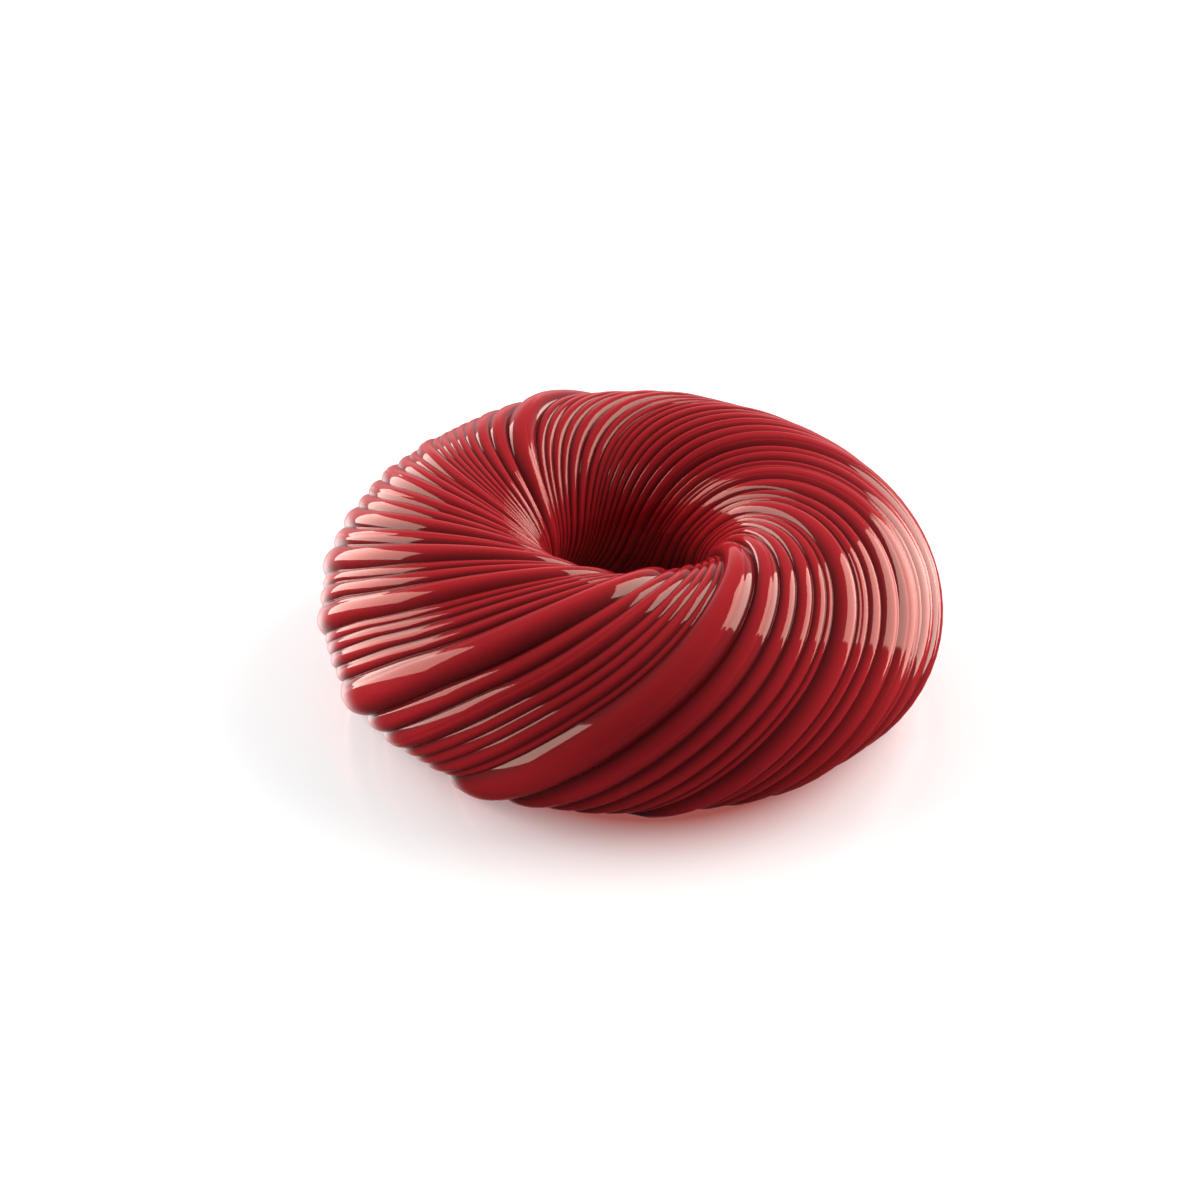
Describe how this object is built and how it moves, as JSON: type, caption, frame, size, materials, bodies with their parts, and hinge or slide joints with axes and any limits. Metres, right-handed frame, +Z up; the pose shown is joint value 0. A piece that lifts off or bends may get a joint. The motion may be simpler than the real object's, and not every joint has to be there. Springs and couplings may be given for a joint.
{
  "type": "mirror glaze entremet",
  "caption": "Ring-shaped mousse cake in a deep red mirror glaze, moulded with uneven folds that twist over the crown into the central hole, with a flat underside.",
  "frame": {"origin": "middle of the footprint, on the surface that the cake stands on", "axes": "+Z up along the axis of the ring, through the hole; +X to the right as the cake is seen from the front, which faces -Y"},
  "size_m": [0.179, 0.1794, 0.0554],
  "materials": {
    "mirror_glaze": "wet, mirror-smooth cherry-red glaze"
  },
  "bodies": {
    "root": {"glazed_ring_cake": "mirror_glaze"}
  },
  "joints": []
}
